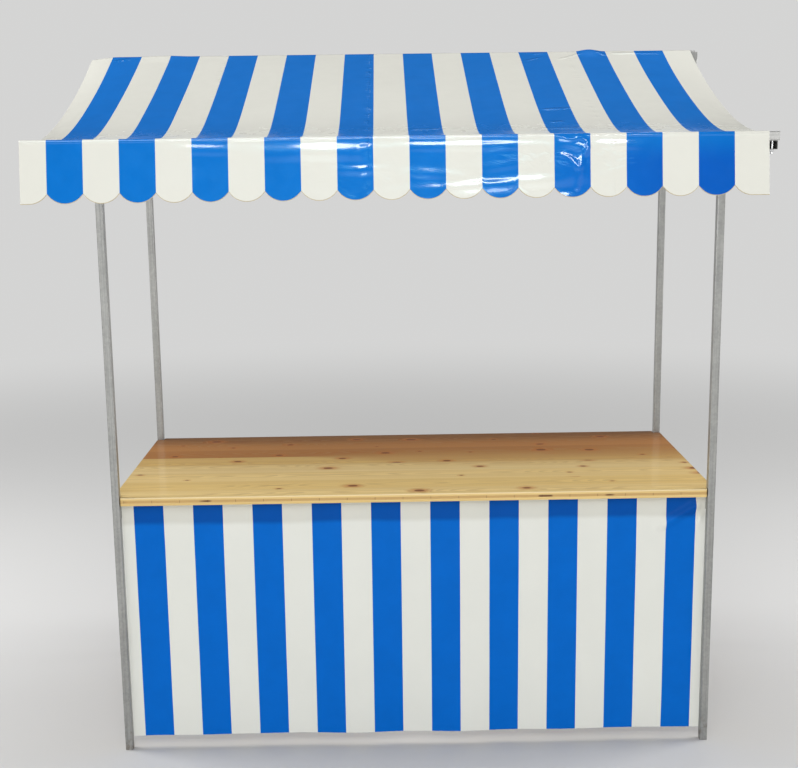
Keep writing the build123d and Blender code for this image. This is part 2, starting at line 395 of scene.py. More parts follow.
def canvas_outside(length):
    """Glossy coated side: nearly smooth on the slopes, dented and wrinkled on the valances."""
    material, n, bsdf, cloth, mask, colour = striped_cloth("canvas_outside", FIRST_STRIPE, STRIPE)
    across, along, _ = n.parts(cloth)
    to_hem = n.maths("MINIMUM", along, n.minus(length, along))
    below_fold = n.minus(VALANCE_LENGTH, to_hem)
    on_valance = n.between(below_fold, -0.02, 0.0)
    low_slope = n.times(n.between(below_fold, -0.30, -0.05), n.between(on_valance, 1.0, 0.0))

    # The threads and the small dents show on the valances, where the cloth is not stretched.
    dented = n.group(CRUMPLE, cloth=cloth, size=0.045, depth=0.0009,
                     amount=n.between(on_valance, 0.0, 1.0, 0.03, 1.0))
    woven = n.group(WEAVE, cloth=cloth, pitch=THREAD_PITCH, depth=0.000003)["Height"]
    height = n.sum(dented["Height"], n.times(woven, on_valance))
    off_middle = n.maths("ABSOLUTE", n.sum(across, -HANDLED_MIDDLE))
    off_spot = n.maths("ABSOLUTE", n.sum(across, -HANDLED_SPOT))
    spot = n.times(n.between(off_spot, 0.07, 0.04), n.between(below_fold, 0.060, 0.035))
    handled = n.maths("MAXIMUM", n.between(off_middle, 0.50, 0.36, 0.05, 1.0), spot)
    crinkled = n.group(CRINKLE, cloth=cloth, size=0.034, depth=0.0042)["Height"]
    height = n.sum(height, n.times(crinkled, n.times(handled, on_valance)))
    for place, reach, depth in PACKING_FOLDS:
        fold = n.group(CREASE, cloth=cloth, place=place, reach=reach, depth=depth)["Height"]
        height = n.sum(height, fold)
    for start, stop, reach, depth in CREASE_LINES:
        start, stop = ((x - SLOPE_LOW.x, VALANCE_LENGTH + up, 0.0) for x, up in (start, stop))
        line = n.group(CREASE_LINE, cloth=cloth, start=start, stop=stop, reach=reach, depth=depth)
        height = n.sum(height, line["Height"])

    # Painted shade: the blue stripes are darker low down towards the right of the valance.
    right_low_shade = n.times(n.between(across, 1.25, 1.90), n.between(below_fold, 0.0, 0.09))
    colour = n.mix(n.times(right_low_shade, mask), colour, n.tint(colour, RIGHT_LOW_SHADE_BLUE))
    roughness = n.sum(n.between(dented["Dents"], 0.3, 0.7, 0.20, 0.26), n.times(low_slope, 0.09))
    n.fill(bsdf, Base_Color=colour, Roughness=roughness, Normal=bump(n, height),
           Specular_IOR_Level=0.35, Specular_Tint=GLAZE, Coat_IOR=1.8, Coat_Roughness=0.08,
           Coat_Weight=n.between(on_valance, 0.0, 1.0, 0.08, 0.55))
    return material


def canvas_inside():
    """The duller side that faces down, a shade darker where the coating is thin."""
    material, n, bsdf, cloth, _, colour = striped_cloth("canvas_inside", FIRST_STRIPE, STRIPE)
    dented = n.group(CRUMPLE, cloth=cloth, size=0.045, depth=0.0006, amount=0.5)
    threads = n.group(WEAVE, cloth=cloth, pitch=THREAD_PITCH, depth=0.00003)["Height"]
    n.fill(bsdf, Base_Color=n.tint(colour, THIN_COAT), Roughness=0.6,
           Specular_IOR_Level=0.2, Normal=bump(n, n.sum(dented["Height"], threads)))
    return material


HEM_BAND = 0.068                # the skirt's top is folded over in two layers this far down
HEM_SHADE_CREAM = (0.87, 0.86, 0.84, 1)   # and its colours are multiplied by these there, as painted shade
HEM_SHADE_BLUE = (0.95, 0.58, 0.66, 1)


def skirt_cloth():
    """Duller cloth, with painted shade over the two layers at the top, which let less light
    through, and the stitched line under the doubling.
    """
    material, n, bsdf, cloth, mask, colour = striped_cloth(
        "skirt_cloth", SKIRT_FIRST, SKIRT_STRIPE, SKIRT_CREAM, SKIRT_BLUE)
    below_top = n.minus(SKIRT_HIGH.z - SKIRT_LOW.z, n.parts(cloth)[1])
    # Painted shade: the two-layer band at the top is darker because less light comes through it;
    # the same mask gives its small step in height.
    border = n.sum(HEM_BAND, n.times(n.centred(n.noise(cloth, 6.0, 2.0)), 0.020))
    doubled_and_shaded = n.between(n.minus(below_top, border), 0.010, -0.010)
    hem_shade = n.mix(mask, HEM_SHADE_CREAM, HEM_SHADE_BLUE)
    colour = n.mix(doubled_and_shaded, colour, n.tint(colour, hem_shade))
    dented = n.group(CRUMPLE, cloth=cloth, size=0.060, depth=0.0015, amount=1.0)
    threads = n.group(WEAVE, cloth=cloth, pitch=THREAD_PITCH, depth=0.00003)["Height"]
    step = n.times(doubled_and_shaded, 0.0006)
    height = n.sum(n.sum(dented["Height"], threads), step)
    roughness = n.between(dented["Dents"], 0.3, 0.7, 0.44, 0.56)
    n.fill(bsdf, Base_Color=colour, Roughness=roughness, Normal=bump(n, height),
           Specular_IOR_Level=0.04, Coat_Weight=0.04, Coat_Roughness=0.25)
    return material


def binding():
    """Dull lacquer that seals the cut edge of the scallops."""
    material, n, bsdf = new_material("edge_binding")
    place = n.place()
    worn = n.noise(place, 60.0, 3.0)
    colour = n.mix(worn, (0.42, 0.34, 0.19, 1), (0.56, 0.48, 0.30, 1))
    height = n.times(n.noise(place, 1500.0, 1.0), 0.00004)
    n.fill(bsdf, Base_Color=colour, Roughness=n.between(worn, 0.3, 0.7, 0.45, 0.6),
           Normal=bump(n, height))
    return material


# Darkest and palest zinc of the tubes along each axis; those across the stall are painted lighter,
# as painted light.
DULL_ZINC = ((0.300, 0.302, 0.292, 1), (0.445, 0.445, 0.425, 1))
LIT_ZINC = ((0.520, 0.520, 0.505, 1), (0.680, 0.680, 0.660, 1))
ZINC_SHADES = {"x": LIT_ZINC, "y": DULL_ZINC, "z": DULL_ZINC}
GRIME = (0.19, 0.16, 0.13, 1)
STREAKS_ALONG, STREAKS_ACROSS = 2.2, 170.0      # per metre


def galvanised(axis):
    """Zinc-coated tube whose streaks run along the axis with that letter."""
    material, n, bsdf = new_material(f"galvanised_{axis}")
    place = n.place()
    along = tuple(STREAKS_ALONG if letter == axis else STREAKS_ACROSS for letter in "xyz")
    zinc = n.group(ZINC, place=place, along=along)
    # The tubes along X get the lighter zinc colours: painted light.
    colour = n.mix(n.between(zinc["Shade"], 0.3, 0.75), *ZINC_SHADES[axis])
    dull = n.between(zinc["Streaks"], 0.35, 0.7, 0.50, 0.34)
    near_ground = n.between(n.parts(place)[2], 0.12, 0.0)
    grime = n.times(near_ground, n.between(n.noise(place, 45.0, 4.0), 0.45, 0.7))
    colour = n.mix(grime, colour, GRIME)
    n.fill(bsdf, Base_Color=colour, Roughness=n.sum(dull, n.times(grime, 0.3)),
           Metallic=n.between(grime, 0.0, 1.0, 0.82, 0.2), Normal=bump(n, zinc["Height"]))
    return material


def zinc_plate():
    """Bright plated zinc of the bolts and nuts, slightly cloudy."""
    material, n, bsdf = new_material("bright_zinc_plate")
    place = n.place()
    cloud = n.noise(place, 260.0, 3.0)
    n.fill(bsdf, Base_Color=n.mix(cloud, (0.62, 0.63, 0.66, 1), (0.82, 0.82, 0.80, 1)),
           Roughness=n.between(cloud, 0.3, 0.7, 0.20, 0.34), Metallic=1.0)
    return material


# Colours of the palest and the darkest lamella of each kind of wood; the heartwood colours also
# hold painted shade and a painted reflection.
PALE_WOOD = ((0.900, 0.700, 0.335, 1), (0.780, 0.545, 0.195, 1))
# darker heartwood, with painted shade and a painted reflection in it
HEARTWOOD_AND_SHADE = ((0.480, 0.200, 0.052, 1), (0.390, 0.152, 0.037, 1))
END_GRAIN = ((0.600, 0.390, 0.150, 1), (0.400, 0.220, 0.075, 1))
PALE_WOOD_BACK_SHADE = (0.800, 0.730, 0.620, 1)        # painted shade: pale wood is multiplied by this near the heartwood, more towards the back
HEARTWOOD_BACK_SHADE = (0.460, 0.430, 0.460, 1)       # and heartwood by this at the back edge, also as painted shade
LATE_WOOD = (0.360, 0.190, 0.050, 1)
RESIN = (0.470, 0.150, 0.026, 1)
KNOT = (0.165, 0.046, 0.012, 1)
GLUE = (0.250, 0.130, 0.050, 1)
END_GLUE = (0.120, 0.055, 0.025, 1)
GAP = (0.110, 0.045, 0.020, 1)
# painted highlight along the board's top front edge
ARRIS_HIGHLIGHT = (0.900, 0.740, 0.430, 1)
LAMELLA = 0.1145                        # width of those of the outer layers
CORE_LAMELLA = 0.093
HEART_AND_SHADE_END = 3 * LAMELLA                 # the heartwood, with its painted shade, ends at this glue line, from the back


def lacquered_board():
    """Three-layer softwood board: long grain above and below, a cross-laid core between."""
    material, n, bsdf = new_material("lacquered_softwood")
    place = n.place()
    x, y, z = n.parts(place)
    from_back = n.minus(BOARD_HIGH.y, y)
    layer = (BOARD_HIGH.z - BOARD_LOW.z) / 3
    face = n.group(TIMBER, place=n.point(x, from_back, n.minus(z, BOARD_HIGH.z)),
                   lamella=LAMELLA, knots=1.0)
    core = n.group(TIMBER, place=n.point(y, x, z), lamella=CORE_LAMELLA, knots=1.0)

    # The lamellas at the back are darker heartwood with painted shade and a painted reflection, up
    # to a glue line on the left, where it ends sharply; on the right the colour fades out over the
    # lamellas.
    cloud = n.noise(n.point(n.times(x, 1.5), n.times(y, 6.0), 0.0), 1.5, 3.0)
    cloud = n.times(n.centred(cloud), 0.10)
    fade = n.between(x, -0.45, 0.15)
    heart_and_shade = n.between(n.sum(from_back, n.times(cloud, fade)),
                      n.sum(HEART_AND_SHADE_END + 0.001, n.times(fade, 0.205)),
                      n.sum(HEART_AND_SHADE_END - 0.001, n.times(fade, -0.130)))
    pale = n.mix(face["Tone"], *PALE_WOOD)
    # Painted shade: the pale wood darkens towards the back, and the heartwood darkens at the back
    # edge.
    pale = n.mix(n.between(from_back, 0.69, 0.42), pale, n.tint(pale, PALE_WOOD_BACK_SHADE))
    brown = n.mix(face["Tone"], *HEARTWOOD_AND_SHADE)
    brown = n.mix(n.between(from_back, 0.22, 0.0), brown, n.tint(brown, HEARTWOOD_BACK_SHADE))
    streaks = n.noise(n.point(n.times(x, 0.8), n.times(y, 42.0), n.times(z, 42.0)), 1.0, 3.0, 0.6)
    grain = n.mix(n.between(streaks, 0.35, 0.65, 0.0, 0.16), n.mix(heart_and_shade, pale, brown), LATE_WOOD)
    for mark, strength, shade in (("Late wood", 0.40, LATE_WOOD), ("Halo", 0.60, RESIN),
                                  ("Knot", 0.85, KNOT), ("Seam", 0.35, GLUE)):
        grain = n.mix(n.times(face[mark], strength), grain, shade)

    # The core shows its end grain at the front and back edges, with some gaps in it.
    end_grain = n.mix(n.times(core["Late wood"], 0.5), *END_GRAIN)
    end_grain = n.mix(n.times(core["Seam"], 0.7), end_grain, END_GLUE)
    gaps = n.between(n.noise(n.point(n.times(x, 8.0), n.times(y, 8.0), 0.0), 1.0, 2.0), 0.63, 0.68)
    off_middle = n.maths("ABSOLUTE", n.sum(z, -(BOARD_LOW.z + BOARD_HIGH.z) / 2))
    gaps = n.times(gaps, n.between(off_middle, layer / 2, layer / 6))
    end_grain = n.mix(n.times(gaps, 0.9), end_grain, GAP)
    above_core = n.maths("GREATER_THAN", z, BOARD_HIGH.z - layer)
    below_core = n.maths("LESS_THAN", z, BOARD_LOW.z + layer)
    in_core = n.maths("SUBTRACT", 1.0, n.sum(above_core, below_core), clamp=True)
    colour = n.mix(in_core, grain, end_grain)
    # Painted highlight: a thin bright line along the top front edge.
    arris_highlight = n.times(n.between(z, BOARD_HIGH.z - 0.005, BOARD_HIGH.z - 0.002),
                    n.between(y, BOARD_LOW.y + 0.006, BOARD_LOW.y + 0.001))
    colour = n.mix(n.times(arris_highlight, 0.8), colour, ARRIS_HIGHLIGHT)
    height = n.sum(n.times(face["Late wood"], 0.00004), n.times(face["Seam"], -0.0001))
    height = n.sum(height, n.times(n.noise(place, 5.0, 2.0), 0.0006))
    n.fill(bsdf, Base_Color=colour, Normal=bump(n, height),
           Roughness=n.between(face["Late wood"], 0.0, 1.0, 0.42, 0.34),
           Specular_IOR_Level=0.1, Coat_Weight=0.40, Coat_Roughness=0.09)
    return material


# ======== pieces
def deselect():
    """Leave edit mode and select nothing."""
    if bpy.context.object and bpy.context.object.mode != "OBJECT":
        bpy.ops.object.mode_set(mode="OBJECT")
    bpy.ops.object.select_all(action="DESELECT")


def only(piece):
    """Make the piece the only one selected, and the active one."""
    deselect()
    piece.select_set(True)
    bpy.context.view_layer.objects.active = piece


def apply_modifiers(piece):
    only(piece)
    for modifier in list(piece.modifiers):
        bpy.ops.object.modifier_apply(modifier=modifier.name)


def turn_outwards(piece):
    """Make every face of the piece point outwards, or a sheet's faces one way."""
    only(piece)
    bpy.ops.object.mode_set(mode="EDIT")
    bpy.ops.mesh.select_all(action="SELECT")
    bpy.ops.mesh.normals_make_consistent(inside=False)
    bpy.ops.object.mode_set(mode="OBJECT")


def grid(name, columns, rows):
    """A grid with that many points each way, which are then put in their places."""
    deselect()
    bpy.ops.mesh.primitive_grid_add(
        x_subdivisions=columns - 1, y_subdivisions=rows - 1, size=2, calc_uvs=False)
    piece = bpy.context.object
    piece.name = piece.data.name = name
    return piece


def flat_cloth(name, across, along):
    """A grid of cloth, its columns at the distances across and its rows at those along."""
    columns = len(across)
    cloth = grid(name, columns, len(along))
    cloth.data.uv_layers.new(name="cloth")
    uv = cloth.data.uv_layers["cloth"].uv
    for loop in cloth.data.loops:
        row, column = divmod(loop.vertex_index, columns)
        uv[loop.index].vector = (across[column], along[row])
    return cloth


def thicken(cloth, lining=False):
    """Give the sheet its thickness, inwards, with another finish inside if there is one."""
    solid = cloth.modifiers.new("thickness", "SOLIDIFY")
    solid.thickness = CLOTH
    solid.offset = -1
    if lining:
        solid.material_offset = 1
    apply_modifiers(cloth)
    bpy.ops.object.shade_smooth_by_angle(angle=math.radians(40))


def spread(start, stop, count):
    """count numbers from just after start up to stop."""
    return [start + (stop - start) * (i + 1) / count for i in range(count)]


def bell(distance, width):
    """1 at no distance, falling smoothly to 0 at width."""
    return 0.0 if abs(distance) >= width else 0.5 + 0.5 * math.cos(math.pi * distance / width)


def drift(x, y, z):
    """A number between about -1 and 1 that changes smoothly from place to place."""
    return noise.noise(Vector((x, y, z)))


# -------- roof canvas
VALANCE_ROWS, ROLL_ROWS, FOLD_ROWS, RAIL_ROWS = 27, 15, 5, 2
SLOPE_ROWS, CREST_ROWS, RIDGE_ROWS = 34, 10, 3
ROLL_END = 0.040                # the rows are closer from the fold down to here
CREST = 0.92                    # and from this part of the slope up to the ridge
STRIPE_COLUMNS = 10
CREASED_STRIPES = (15, 16)      # these have finer columns
CREASED_COLUMNS = 25
EAVE_FACE = EAVE_HIGH.z + CLOTH_LIFT   # outer face of the cloth on the eave rails
RIDGE_FACE = RIDGE_HIGH.z + CLOTH_LIFT
REACH = -SLOPE_LOW.y            # outer face of the cloth at the fold
RAIL_INNER = -EAVE_HIGH.y
RIDGE_HALF = RIDGE_HIGH.y
LEAN = math.atan2(-VALANCE_LOW.y - REACH, EAVE_FACE - VALANCE_LOW.z)
FOLD_Y, FOLD_Z = REACH - FOLD_RADIUS, EAVE_FACE - FOLD_RADIUS   # centre of the rounded fold
VALANCE_LENGTH = (FOLD_Z + FOLD_RADIUS * math.sin(LEAN) - VALANCE_LOW.z) / math.cos(LEAN)
SCALLOP_RADIUS = ((STRIPE / 2) ** 2 + SCALLOP_DEPTH ** 2) / (2 * SCALLOP_DEPTH)
ROOF_SAG = 0.030                # how far a slope hangs below a straight line, near its rail
TAUT_RIGHT = (0.6, 0.20)        # share of it that is missing at the right edge, and its fading
LOOSE_LEFT = (0.045, 0.20)      # further sag half way up the left edge, and its fading
LOOSE_RIGHT = (0.054, 0.20)     # the same at the right edge
SAG_TURN = 7                    # how sharply the hanging curve turns up at the rail
SAG_PEAK = 0.65                 # its largest value before it is scaled


def canvas_columns():
    """Distances across the canvas, with a column on every edge between two stripes."""
    across = [0.0]
    for i in range(STRIPE_COUNT):
        width = {0: FIRST_STRIPE, STRIPE_COUNT - 1: LAST_STRIPE}.get(i, STRIPE)
        count = CREASED_COLUMNS if i in CREASED_STRIPES else STRIPE_COLUMNS
        across += spread(across[-1], across[-1] + width, count)
    return across


def valance_length(across):
    """From fold to scalloped edge: an arc under each stripe, flat at the outermost ends."""
    place = across - FIRST_STRIPE
    last = (STRIPE_COUNT - 2) * STRIPE
    if place < 0:
        off_middle = max(0.0, place + STRIPE / 2)
    elif place > last:
        off_middle = min(0.0, place - last - STRIPE / 2)
    else:
        off_middle = place % STRIPE - STRIPE / 2
    return VALANCE_LENGTH - SCALLOP_RADIUS + math.sqrt(SCALLOP_RADIUS ** 2 - off_middle ** 2)


def slope_drop(t, across, width):
    """How far the cloth hangs below a straight line from the rail at 0 to the ridge at 1."""
    from_right = width - across
    share, reach = TAUT_RIGHT
    near_rail = ROOF_SAG * (1 - share * math.exp(-from_right / reach))
    drop = near_rail * (1 - (1 - t) ** SAG_TURN) * (1 - t) / SAG_PEAK
    for from_edge, (more, reach) in ((across, LOOSE_LEFT), (from_right, LOOSE_RIGHT)):
        drop += 4 * more * math.exp(-from_edge / reach) * t * (1 - t)
    return drop


def half_profile(length, across, width):
    """(distance from the middle, height) from a hem up over the rail to the ridge's middle."""
    points = []
    roll = length - ROLL_END
    for up in [0.0] + spread(0, roll, VALANCE_ROWS) + spread(roll, length, ROLL_ROWS):
        down = length - up
        points.append((FOLD_Y + FOLD_RADIUS * math.cos(LEAN) + down * math.sin(LEAN),
                       FOLD_Z + FOLD_RADIUS * math.sin(LEAN) - down * math.cos(LEAN)))
    for turn in spread(LEAN, math.pi / 2, FOLD_ROWS):
        points.append((FOLD_Y + FOLD_RADIUS * math.cos(turn),
                       FOLD_Z + FOLD_RADIUS * math.sin(turn)))
    points += [(y, EAVE_FACE) for y in spread(FOLD_Y, RAIL_INNER, RAIL_ROWS)]
    rise = RIDGE_FACE - EAVE_FACE
    run = RAIL_INNER - RIDGE_HALF
    for t in spread(0, CREST, SLOPE_ROWS) + spread(CREST, 1, CREST_ROWS):
        points.append((RAIL_INNER - run * t, EAVE_FACE + rise * t - slope_drop(t, across, width)))
    points += [(y, RIDGE_FACE) for y in spread(RIDGE_HALF, 0, RIDGE_ROWS)]
    return points


def canvas_profile(across, width):
    """(y, z) of every row of the canvas at one distance across it, front hem to back hem."""
    half = half_profile(valance_length(across), across, width)
    return [(-y, z) for y, z in half] + [(y, z) for y, z in reversed(half[:-1])]


VALANCE_SWAY, VALANCE_FLUTTER = 0.0030, 0.0012  # how far each stands off at the hem
SLOPE_SWAY, SLOPE_FLUTTER = 0.0060, 0.0012      # and half way up a slope
FOLD_ROLL = 0.0009              # the cloth stands off this much just below the fold
RIDGE_DROOP = 0.010             # the corner beyond the ridge tube's left end hangs a little
# Swells of a valance: middle along X, reach along X, level below the fold, rise per metre
# to the right, half height, stand-off.
FRONT_SWELLS = (
    (-0.54, 0.14, 0.034, 0.00, 0.022, 0.0013),
    (-0.24, 0.30, 0.044, 0.00, 0.034, 0.0020),
    (-0.12, 0.15, 0.092, 0.00, 0.020, 0.0013),
    (0.20, 0.40, 0.032, 0.00, 0.020, 0.0013),
    (0.30, 0.13, 0.082, 0.12, 0.022, 0.0013),
    (0.10, 0.14, 0.108, -0.10, 0.022, 0.0013),
    (0.22, 0.50, 0.140, 0.06, 0.026, 0.0022),
    (0.07, 0.14, 0.172, 0.05, 0.018, 0.0017),
    (0.47, 0.09, 0.096, 0.12, 0.038, 0.0019),
    (0.49, 0.09, 0.036, -0.40, 0.024, 0.0014),
    (0.45, 0.10, 0.176, 0.00, 0.022, 0.0019),
    (0.60, 0.12, 0.034, 0.00, 0.020, 0.0013),
)
# Sharp creases of the front valance: route of (X, distance below the fold), reach, stand-off.
VALANCE_CREASES = (
    (((0.440, 0.012), (0.470, 0.016), (0.496, 0.012), (0.514, 0.022), (0.518, 0.038)),
     0.012, 0.0020),
    (((0.516, 0.040), (0.502, 0.066), (0.494, 0.100), (0.486, 0.150)), 0.013, 0.0020),
    (((0.446, 0.060), (0.468, 0.068), (0.488, 0.092)), 0.013, 0.0013),
    (((-0.100, 0.030), (-0.112, 0.050), (-0.096, 0.078), (-0.104, 0.100)), 0.012, 0.0012),
)
BACK_SWELLS = (
    (-0.45, 0.30, 0.050, 0.02, 0.030, 0.0024),
    (0.10, 0.25, 0.130, -0.03, 0.024, 0.0020),
    (0.55, 0.30, 0.045, 0.00, 0.022, 0.0018),
)
# Creases above the front rail: middle along X, reach, distance in from the rail, half width,
# stand-off.
RAIL_CREASES = (
    (0.25, 0.45, 0.030, 0.016, 0.0016),
    (0.32, 0.40, 0.075, 0.018, 0.0013),
    (0.50, 0.14, 0.120, 0.020, 0.0022),
)
# Where the canvas stands off the ridge tube: middle along X, reach, height.
RIDGE_HUMPS = (
    (0.667, 0.055, 0.0066),
    (-0.80, 0.10, 0.0030),
)


def off_route(place, route):
    """Distance of a place from a route of straight runs."""
    nearest = []
    for start, stop in zip(route, route[1:]):
        run = Vector(stop) - Vector(start)
        part = min(1.0, max(0.0, (place - Vector(start)).dot(run) / run.length_squared))
        nearest.append((place - Vector(start) - run * part).length)
    return min(nearest)


def canvas_swell(x, y, z):
    """How far the canvas stands off its plain shape at a place, along its own normal."""
    front = y < 0
    if abs(y) > RAIL_INNER and z < FOLD_Z:
        down = EAVE_FACE - z
        depth = down / VALANCE_LENGTH
        seed = 3.0 if front else 8.0
        sway = VALANCE_SWAY * drift(x * 1.9, seed, 0.0)
        flutter = VALANCE_FLUTTER * drift(x * 6.0, seed + 4.0, depth * 1.2)
        swell = (sway + flutter) * depth
        uneven = 1 + 0.8 * drift(x * 6.0, seed + 9.0, 0.0)
        swell += FOLD_ROLL * uneven * bell(down - 0.005, 0.007)
        for middle, reach, level, rise, tall, height in FRONT_SWELLS if front else BACK_SWELLS:
            wander = 0.004 * drift(x * 9.0, level * 40, seed)
            off_level = down - level + rise * (x - middle) + wander
            ragged = 1 + 0.4 * drift(x * 11.0, level * 40, seed + 1)
            swell += height * ragged * bell(x - middle, reach) * bell(off_level, tall)
        for route, reach, height in VALANCE_CREASES if front else ():
            swell += height * bell(off_route(Vector((x, down)), route), reach)
        return swell
    t = min(1.0, max(0.0, (RAIL_INNER - abs(y)) / (RAIL_INNER - RIDGE_HALF)))
    free = math.sin(math.pi * t) * (1 - bell(t, 0.4))
    seed = 20.0 if front else 30.0
    swell = SLOPE_SWAY * free * drift(x * 1.7, y * 1.9, seed)
    swell += SLOPE_FLUTTER * free * drift(x * 6.5, y * 4.0, seed + 3.0)
    for middle, reach, inward, tall, height in RAIL_CREASES if front else ():
        swell += height * bell(x - middle, reach) * bell(RAIL_INNER + y - inward, tall)
    for middle, reach, height in RIDGE_HUMPS:
        swell += height * bell(x - middle, reach) * bell(1 - t, 0.070)
    overhang = max(0.0, (RIDGE_LOW.x - x) / (RIDGE_LOW.x - SLOPE_LOW.x))
    return swell - RIDGE_DROOP * overhang ** 1.5 * bell(1 - t, 0.9)


def roof_canvas():
    """The whole roof as one sheet: front valance, both slopes and back valance."""
    across = canvas_columns()
    width = across[-1]
    middle = canvas_profile(STRIPE * STRIPE_COUNT / 2, width)
    along = [0.0]
    for a, b in zip(middle, middle[1:]):
        along.append(along[-1] + math.dist(a, b))
    sheet = flat_cloth("roof_canvas", across, along)
    columns = len(across)
    for column, distance in enumerate(across):
        x = SLOPE_LOW.x + distance
        line = canvas_profile(distance, width)
        for row, (y, z) in enumerate(line):
            before, after = line[max(0, row - 1)], line[min(len(line) - 1, row + 1)]
            run = Vector((after[0] - before[0], after[1] - before[1])).normalized()
            swell = canvas_swell(x, y, z)
            place = Vector((x, y - run.y * swell, z + run.x * swell))
            sheet.data.vertices[row * columns + column].co = place
    turn_outwards(sheet)
    sheet.data.materials.append(canvas_outside(along[-1]))
    sheet.data.materials.append(canvas_inside())
    hems = [[sheet.data.vertices[row * columns + c].co.copy() for c in range(columns)]
            for row in (0, len(along) - 1)]
    thicken(sheet, lining=True)
    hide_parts("roof_slope_front", "roof_slope_back", "valance_front", "valance_back")
    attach(sheet, "root")
    [hem_binding(name, hem) for name, hem in zip(("front", "back"), hems)]


BINDING_HEIGHT = 0.0014         # of the bead, up from the cut edge
BINDING_PROUD = 0.0002          # how far it stands off the cloth's two faces and its edge


def hem_binding(name, hem):
    """The cut edge of the scallops, sealed with a thin bead of lacquer all along the hem."""
    outward = -1 if name == "front" else 1
    normal = Vector((0, outward * math.cos(LEAN), math.sin(LEAN)))
    outer, inner = BINDING_PROUD, -(CLOTH + BINDING_PROUD)
    corners = ((-BINDING_HEIGHT, outer), (outer, outer), (outer, inner), (-BINDING_HEIGHT, inner),
               (-BINDING_HEIGHT, outer))
    tape = grid(f"valance_binding_{name}", len(corners), len(hem))
    for i, place in enumerate(hem):
        run = (hem[min(i + 1, len(hem) - 1)] - hem[max(i - 1, 0)]).normalized()
        down = run.cross(normal).normalized()
        if down.z > 0:
            down.negate()
        for k, (below, off) in enumerate(corners):
            corner = place + down * below + normal * off
            tape.data.vertices[i * len(corners) + k].co = corner
    only(tape)
    bpy.ops.object.mode_set(mode="EDIT")
    bpy.ops.mesh.select_all(action="SELECT")
    bpy.ops.mesh.remove_doubles(threshold=1e-6)
    bpy.ops.mesh.select_all(action="DESELECT")
    bpy.ops.mesh.select_non_manifold()
    bpy.ops.mesh.edge_face_add()
    bpy.ops.object.mode_set(mode="OBJECT")
    turn_outwards(tape)
    tape.data.materials.append(TAPE)
    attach(tape, "root")
    return tape


# -------- skirt
SKIRT_COLUMNS, SKIRT_ROWS = 220, 84
SKIRT_FOLD, SKIRT_RIPPLE, SKIRT_BILLOW = 0.013, 0.0045, 0.006   # how far each stands off
# Creases of the skirt: route of (distance from the right edge, distance below the top), reach,
# stand-off.
SKIRT_CREASES = (
    (((0.150, 0.105), (0.060, 0.050), (0.030, 0.030)), 0.024, 0.0090),
    (((0.032, 0.030), (0.018, 0.080)), 0.014, 0.0060),
    (((0.010, 0.060), (0.030, 0.120)), 0.016, 0.0030),
)


def skirt():
    """The front skirt: hung from the long rail, nearly flat, with a wavy lower edge."""
    width = SKIRT_HIGH.x - SKIRT_LOW.x
    height = SKIRT_HIGH.z - SKIRT_LOW.z
    across = [0.0] + spread(0, width, SKIRT_COLUMNS)
    along = [0.0] + spread(0, height, SKIRT_ROWS)
    sheet = flat_cloth("skirt_cloth", across, along)
    columns = len(across)
    for row, up in enumerate(along):
        free = 1 - up / height
        for column, distance in enumerate(across):
            held = 1 - bell(min(distance, width - distance), 0.10)
            fold = SKIRT_FOLD * free ** 1.3 * drift(distance * 3.6, 1.0, free * 0.7)
            ripple = SKIRT_RIPPLE * drift(distance * 5.0, up * 4.0, 5.0)
            from_corner = Vector((width - distance, height - up))
            crease = sum(tall * bell(off_route(from_corner, route), reach)
                         for route, reach, tall in SKIRT_CREASES)
            billow = SKIRT_BILLOW * math.sin(math.pi * free) * math.sin(math.pi * distance / width)
            loose = (fold + ripple) * (0.35 + 0.65 * held) * min(1.0, 6 * free)
            y = SKIRT_LOW.y + loose - billow - crease
            place = (SKIRT_LOW.x + distance, y, SKIRT_LOW.z + up)
            sheet.data.vertices[row * columns + column].co = place
    sheet.data.materials.append(skirt_cloth())
    thicken(sheet)
    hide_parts("skirt")
    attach(sheet, "root")


# -------- nuts of the counter frame
NUT_FLATS, NUT_HEIGHT, NUT_CHAMFER = 0.013, 0.0065, 0.0008
WASHER_RADIUS, WASHER_HEIGHT, WASHER_CHAMFER = 0.0085, 0.0016, 0.0003
BOLT_RADIUS, BOLT_END, THREAD_TURNS, THREAD_ROOT = 0.004, 0.0055, 4, 0.86
LEVEL = 1e-6                    # heights closer than this are the same


def edit_edges(piece, wanted):
    """Go to edit mode with only the edges selected whose ends wanted says."""
    only(piece)
    bpy.ops.object.mode_set(mode="EDIT")
    bpy.ops.mesh.select_mode(type="EDGE")
    bpy.ops.mesh.select_all(action="DESELECT")
    bpy.ops.object.mode_set(mode="OBJECT")
    corners = piece.data.vertices
    for edge in piece.data.edges:
        start, stop = (corners[i].co for i in edge.vertices)
        edge.select = wanted(start, stop)
    bpy.ops.object.mode_set(mode="EDIT")


def level(start, stop):
    """Whether the edge between two corners lies flat."""
    return abs(start.z - stop.z) < LEVEL


def hang(top, height):
    """Move the centred piece in edit mode so that it hangs down from the height top."""
    bpy.ops.mesh.select_all(action="SELECT")
    bpy.ops.transform.translate(value=(0, 0, top - height / 2))
    bpy.ops.object.mode_set(mode="OBJECT")


def chamfered_disc(sides, radius, height, top, chamfer):
    """A prism that hangs down from the height top, with both its rims chamfered."""
    deselect()
    bpy.ops.mesh.primitive_cylinder_add(vertices=sides, radius=radius, depth=height)
    disc = bpy.context.object
    edit_edges(disc, level)
    bpy.ops.mesh.bevel(offset=chamfer, segments=1, affect="EDGES")
    hang(top, height)
    return disc


